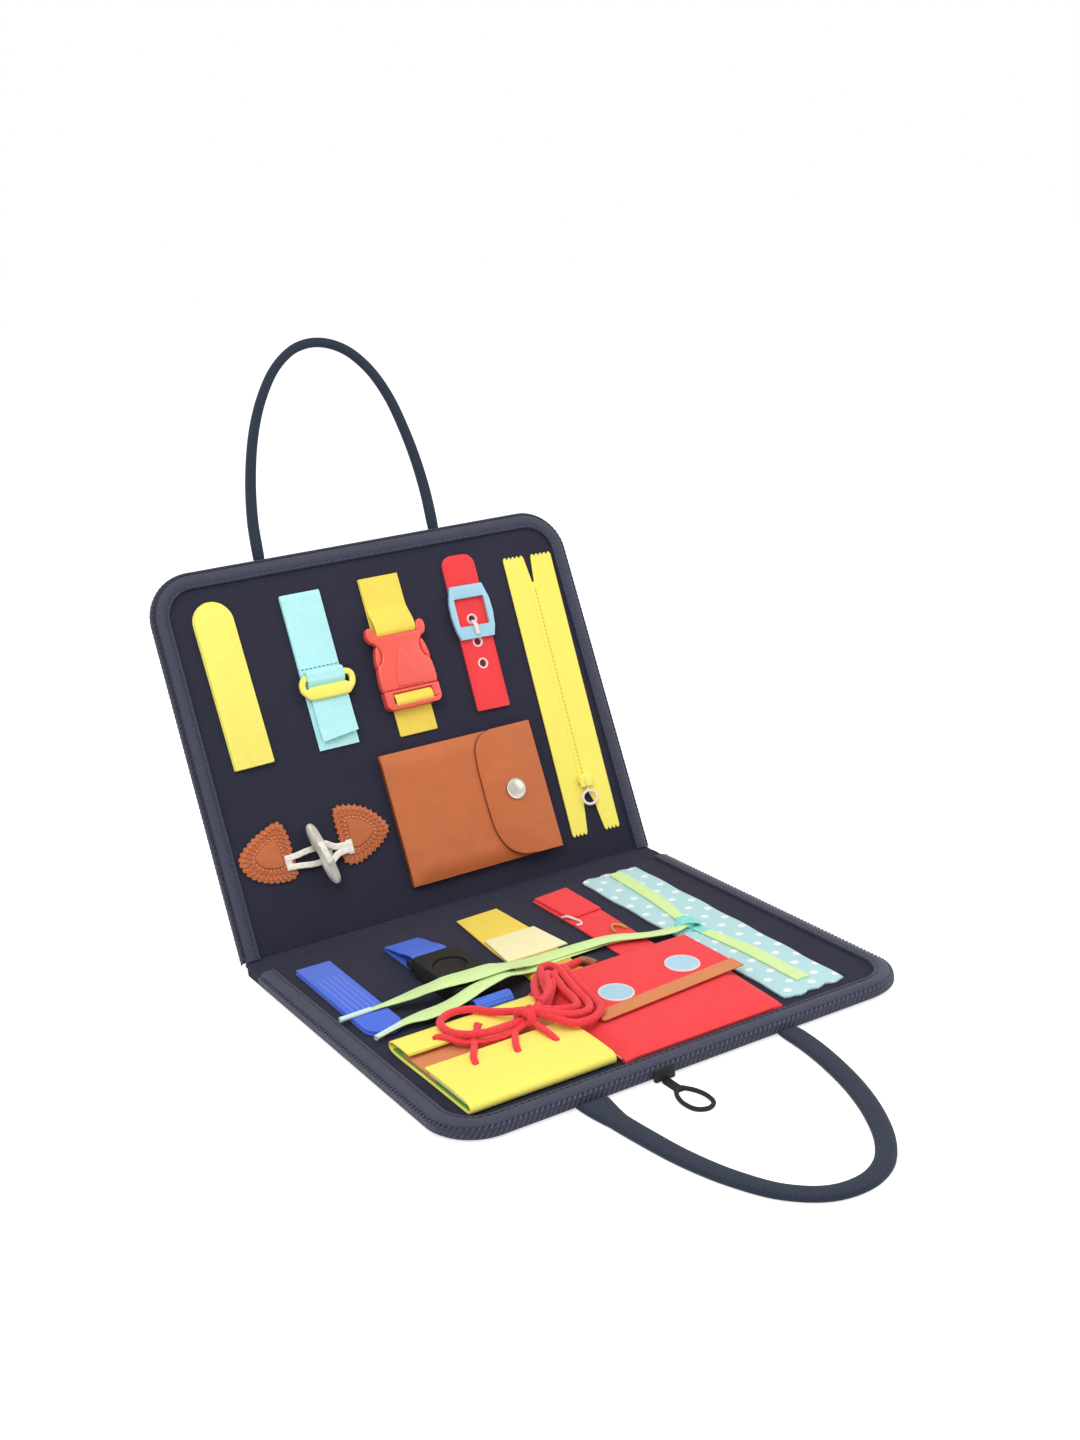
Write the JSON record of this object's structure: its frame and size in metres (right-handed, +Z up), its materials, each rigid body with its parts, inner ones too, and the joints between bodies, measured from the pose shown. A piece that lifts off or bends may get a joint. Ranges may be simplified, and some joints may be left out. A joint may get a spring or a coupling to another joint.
{
  "type": "travel busy board",
  "caption": "Two padded felt halves hinged by a cloth spine, standing open, with strap handles, buckles, pouches, zips, laces and other practice fasteners inside.",
  "frame": {"origin": "centre of the lower half's flat underside, where it lies on the floor", "axes": "+X along the hinge to the right, +Y from the lower half towards the hinge and the standing upper half, +Z up"},
  "size_m": [0.28, 0.537, 0.3411],
  "materials": {
    "navy_felt": "matte felt",
    "navy_binding": "ribbed cloth",
    "zip_cloth": "zip coil",
    "stiff_board": "plain",
    "lemon_felt": "matte",
    "yellow_webbing": "woven",
    "cyan_webbing": "woven",
    "red_felt": "matte",
    "red_plastic": "satin",
    "yellow_plastic": "satin",
    "sky_plastic": "satin",
    "blue_webbing": "woven",
    "lime_ribbon": "soft ribbon",
    "dotted_fabric": "dotted",
    "tan_leather": "smooth",
    "rust_felt": "matte",
    "cream_felt": "matte",
    "horn": "satin",
    "black_plastic": "satin",
    "steel": "polished"
  },
  "bodies": {
    "lower_half": {"lower_cover": "navy_felt", "lower_board": "stiff_board", "lower_felt": "navy_felt", "lower_binding": "navy_binding", "lower_zip": "zip_cloth", "blue_touch_base": "blue_webbing", "press_webbing_top": "blue_webbing", "press_body": "black_plastic", "press_webbing_low": "blue_webbing", "yellow_strap": "yellow_webbing", "hook_strap_base": "red_felt", "dotted_strip": "dotted_fabric", "lime_lace": "lime_ribbon", "lace_panel": "lemon_felt", "lace_tongue": "rust_felt", "lace_stitching": "red_felt", "lace_bow": "red_felt", "red_pouch": "red_felt"},
    "spine": {"spine": "navy_felt"},
    "upper_half": {"upper_cover": "navy_felt", "upper_board": "stiff_board", "upper_felt": "navy_felt", "upper_binding": "navy_binding", "upper_zip": "zip_cloth", "yellow_touch_base": "lemon_felt", "glide_webbing": "cyan_webbing", "release_female": "red_plastic", "release_webbing": "yellow_webbing", "release_tail": "yellow_webbing", "belt_strap": "red_felt", "zipper_tape": "lemon_felt", "brown_pouch": "tan_leather", "toggle_patch_left": "tan_leather", "toggle_patch_right": "tan_leather", "toggle_cord_left": "cream_felt", "toggle_cord_right": "cream_felt"},
    "front_handle": {"front_handle": "navy_felt"},
    "back_handle": {"back_handle": "navy_felt"},
    "edge_slider": {"edge_slider": "black_plastic"},
    "edge_pull": {"edge_pull": "black_plastic"},
    "yellow_touch_flap": {"yellow_touch_flap": "lemon_felt"},
    "blue_touch_flap": {"blue_touch_flap": "blue_webbing"},
    "glide_buckle": {"glide_buckle": "yellow_plastic", "glide_tail": "cyan_webbing"},
    "release_male": {"release_male": "red_plastic"},
    "belt_frame": {"belt_frame": "sky_plastic"},
    "belt_prong": {"belt_prong": "steel"},
    "zipper_slider": {"zipper_slider": "yellow_plastic"},
    "zipper_ring": {"zipper_ring": "steel"},
    "brown_flap": {"brown_flap": "tan_leather", "brown_snap": "steel"},
    "toggle_bar": {"toggle_bar": "horn"},
    "press_button": {"press_button": "black_plastic"},
    "press_tongue": {"press_tongue": "black_plastic"},
    "cream_flap": {"cream_flap": "cream_felt"},
    "hook_strap_flap": {"hook_strap_flap": "red_felt"},
    "red_flap": {"red_flap": "red_felt", "red_trim": "rust_felt", "red_snap_1": "sky_plastic", "red_snap_2": "sky_plastic"}
  },
  "joints": [
    {"name": "spine_fold", "type": "hinge", "parent": "lower_half", "child": "spine", "pos_m": [0, 0.114, 0.0073], "axis": [-1, 0, 0], "range_deg": [-90, 0]},
    {"name": "panel_fold", "type": "hinge", "parent": "spine", "child": "upper_half", "pos_m": [0, 0.134, 0.0073], "axis": [-1, 0, 0], "range_deg": [-23.3, 66.7]},
    {"name": "front_handle_swing", "type": "hinge", "parent": "lower_half", "child": "front_handle", "pos_m": [-0.006, -0.1165, 0.0022], "axis": [-1, 0, 0], "range_deg": [0, 90]},
    {"name": "back_handle_swing", "type": "hinge", "parent": "upper_half", "child": "back_handle", "pos_m": [-0.006, 0.22928, 0.21843], "axis": [1, 0, 0], "range_deg": [-80, 80]},
    {"name": "edge_slide", "type": "slide", "parent": "lower_half", "child": "edge_slider", "axis": [1, 0, 0], "range_m": [-0.025, 0.06]},
    {"name": "edge_pull_swing", "type": "hinge", "parent": "edge_slider", "child": "edge_pull", "pos_m": [-0.024, -0.1187, 0.0009], "axis": [-1, 0, 0], "range_deg": [0, 90]},
    {"name": "yellow_touch_peel", "type": "hinge", "parent": "upper_half", "child": "yellow_touch_flap", "pos_m": [-0.103, 0.17452, 0.10744], "axis": [0.9998, 0.0069, 0.016], "range_deg": [0, 110]},
    {"name": "glide_slide", "type": "slide", "parent": "upper_half", "child": "glide_buckle", "axis": [0, 0.3955, 0.9184], "range_m": [-0.015, 0.025]},
    {"name": "release_slide", "type": "slide", "parent": "upper_half", "child": "release_male", "axis": [0, -0.3955, -0.9184], "range_m": [0, 0.022]},
    {"name": "belt_frame_lift", "type": "hinge", "parent": "upper_half", "child": "belt_frame", "pos_m": [0.05889, 0.19168, 0.15007], "axis": [0.9996, -0.011, -0.0256], "range_deg": [0, 40]},
    {"name": "belt_prong_lift", "type": "hinge", "parent": "belt_frame", "child": "belt_prong", "pos_m": [0.05894, 0.19072, 0.15266], "axis": [0.9996, -0.011, -0.0256], "range_deg": [0, 60]},
    {"name": "zipper_slide", "type": "slide", "parent": "upper_half", "child": "zipper_slider", "axis": [0.0279, 0.3954, 0.9181], "range_m": [-0.008, 0.118]},
    {"name": "zipper_ring_swing", "type": "hinge", "parent": "zipper_slider", "child": "zipper_ring", "pos_m": [0.10545, 0.14865, 0.04991], "axis": [-0.9996, 0.011, 0.0256], "range_deg": [0, 90]},
    {"name": "brown_flap_open", "type": "hinge", "parent": "upper_half", "child": "brown_flap", "pos_m": [0.07405, 0.15519, 0.05915], "axis": [0, 0.3955, 0.9184], "range_deg": [0, 85]},
    {"name": "toggle_turn", "type": "hinge", "parent": "upper_half", "child": "toggle_bar", "pos_m": [-0.0785, 0.14695, 0.05507], "axis": [0, -0.9184, 0.3955], "range_deg": [-12, 12]},
    {"name": "blue_touch_peel", "type": "hinge", "parent": "lower_half", "child": "blue_touch_flap", "pos_m": [-0.1115, 0.101, 0.0097], "axis": [-0.9998, 0.0175, 0], "range_deg": [0, 110], "deforming": ["lime_lace"]},
    {"name": "press_button_push", "type": "slide", "parent": "lower_half", "child": "press_button", "axis": [0, 0, -1], "range_m": [0, 0.0025], "stiffness_N_per_m": 400},
    {"name": "press_tongue_slide", "type": "slide", "parent": "lower_half", "child": "press_tongue", "axis": [0, -1, 0], "range_m": [0, 0.0035]},
    {"name": "cream_peel", "type": "hinge", "parent": "lower_half", "child": "cream_flap", "pos_m": [-0.004, 0.067, 0.00975], "axis": [-1, 0, 0], "range_deg": [0, 110]},
    {"name": "hook_flap_open", "type": "hinge", "parent": "lower_half", "child": "hook_strap_flap", "pos_m": [0.046, 0.10275, 0.00975], "axis": [-0.9946, -0.1036, 0], "range_deg": [0, 110]},
    {"name": "red_flap_open", "type": "hinge", "parent": "lower_half", "child": "red_flap", "pos_m": [0.019, -0.00815, 0.00815], "axis": [-1, 0, 0], "range_deg": [0, 60], "deforming": ["lace_bow"]}
  ]
}
